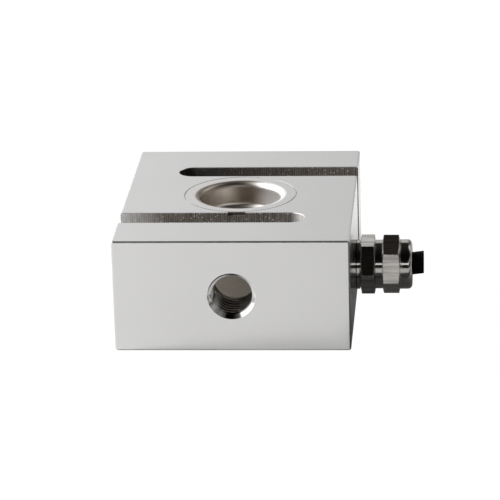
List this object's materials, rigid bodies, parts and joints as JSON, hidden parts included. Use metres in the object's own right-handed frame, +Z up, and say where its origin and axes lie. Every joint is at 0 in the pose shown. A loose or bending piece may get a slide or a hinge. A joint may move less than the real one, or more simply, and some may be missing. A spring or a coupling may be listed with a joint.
{
  "type": "tension load cell",
  "caption": "S-shaped plated steel tension load cell with tapped ends, opposed slots, pressed cup covers over its gauge pockets and a side cable gland with a short cable stub.",
  "frame": {"origin": "middle of the block's lower large face, on which it lies", "axes": "+X towards the cable gland, +Y along the load axis towards the back tapped end, +Z up through the thickness"},
  "size_m": [0.0807, 0.0786, 0.0303],
  "materials": {
    "plated_steel": "satin bright nickel plate",
    "cover_steel": "polished stainless sheet",
    "gland_nickel": "dark bright nickel plate",
    "sealing_rubber": "matt",
    "claw_plastic": "matt",
    "sheath_black": "matt black sheath",
    "braid_tinned": "tinned copper braid",
    "core_red": "smooth",
    "core_black": "smooth",
    "core_green": "smooth",
    "core_white": "smooth",
    "copper": "bare drawn copper",
    "gauge_film": "amber film",
    "gauge_foil": "etched foil",
    "strip_board": "glass laminate",
    "solder": "tinned",
    "resistor_black": "moulded",
    "enamel_wire": "enamelled"
  },
  "bodies": {
    "root": {"s_beam": "plated_steel", "top_cup_cover": "cover_steel", "bottom_cup_cover": "cover_steel", "gland_washer": "gland_nickel", "gland_body": "gland_nickel", "gland_dome_nut": "gland_nickel", "gland_claw": "claw_plastic", "gland_seal": "sealing_rubber", "cable_jacket": "sheath_black", "cable_braid": "braid_tinned", "red_core": "core_red", "black_core": "core_black", "green_core": "core_green", "white_core": "core_white", "core_conductors": "copper", "solder_joints": "solder", "top_gauge_film": "gauge_film", "top_gauge_foil": "gauge_foil", "bottom_gauge_film": "gauge_film", "bottom_gauge_foil": "gauge_foil", "terminal_strip": "strip_board", "terminal_pads": "solder", "span_resistors": "resistor_black", "top_gauge_wires": "enamel_wire", "bottom_gauge_wires": "enamel_wire"}
  },
  "joints": []
}
